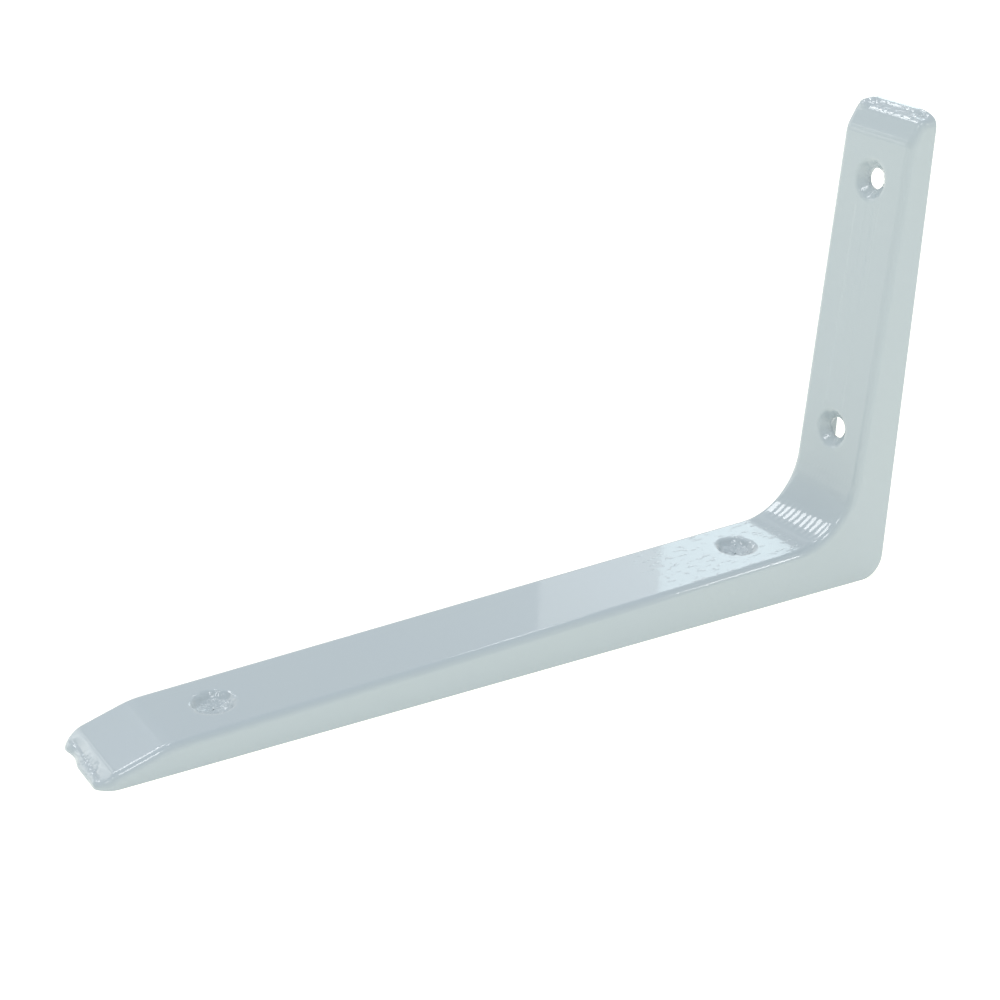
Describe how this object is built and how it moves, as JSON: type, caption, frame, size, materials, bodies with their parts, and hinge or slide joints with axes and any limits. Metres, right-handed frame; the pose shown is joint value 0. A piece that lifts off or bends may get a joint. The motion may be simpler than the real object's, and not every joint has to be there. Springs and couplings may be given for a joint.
{
  "type": "angle bracket",
  "caption": "L-shaped pressed steel bracket of U-section with tapering arms, closed ramped tips and countersunk screw holes, for carrying a shelf on a wall.",
  "frame": {"origin": "outer corner of the L, where the wall plane and the shelf plane meet, half way across the width", "axes": "+X along the long arm, +Z along the short arm, Y across the width; both arms' rims lie in the planes X = 0 and Z = 0"},
  "size_m": [0.2, 0.0222, 0.113],
  "materials": {
    "paint": "gloss"
  },
  "bodies": {
    "root": {"bracket": "paint"}
  },
  "joints": []
}
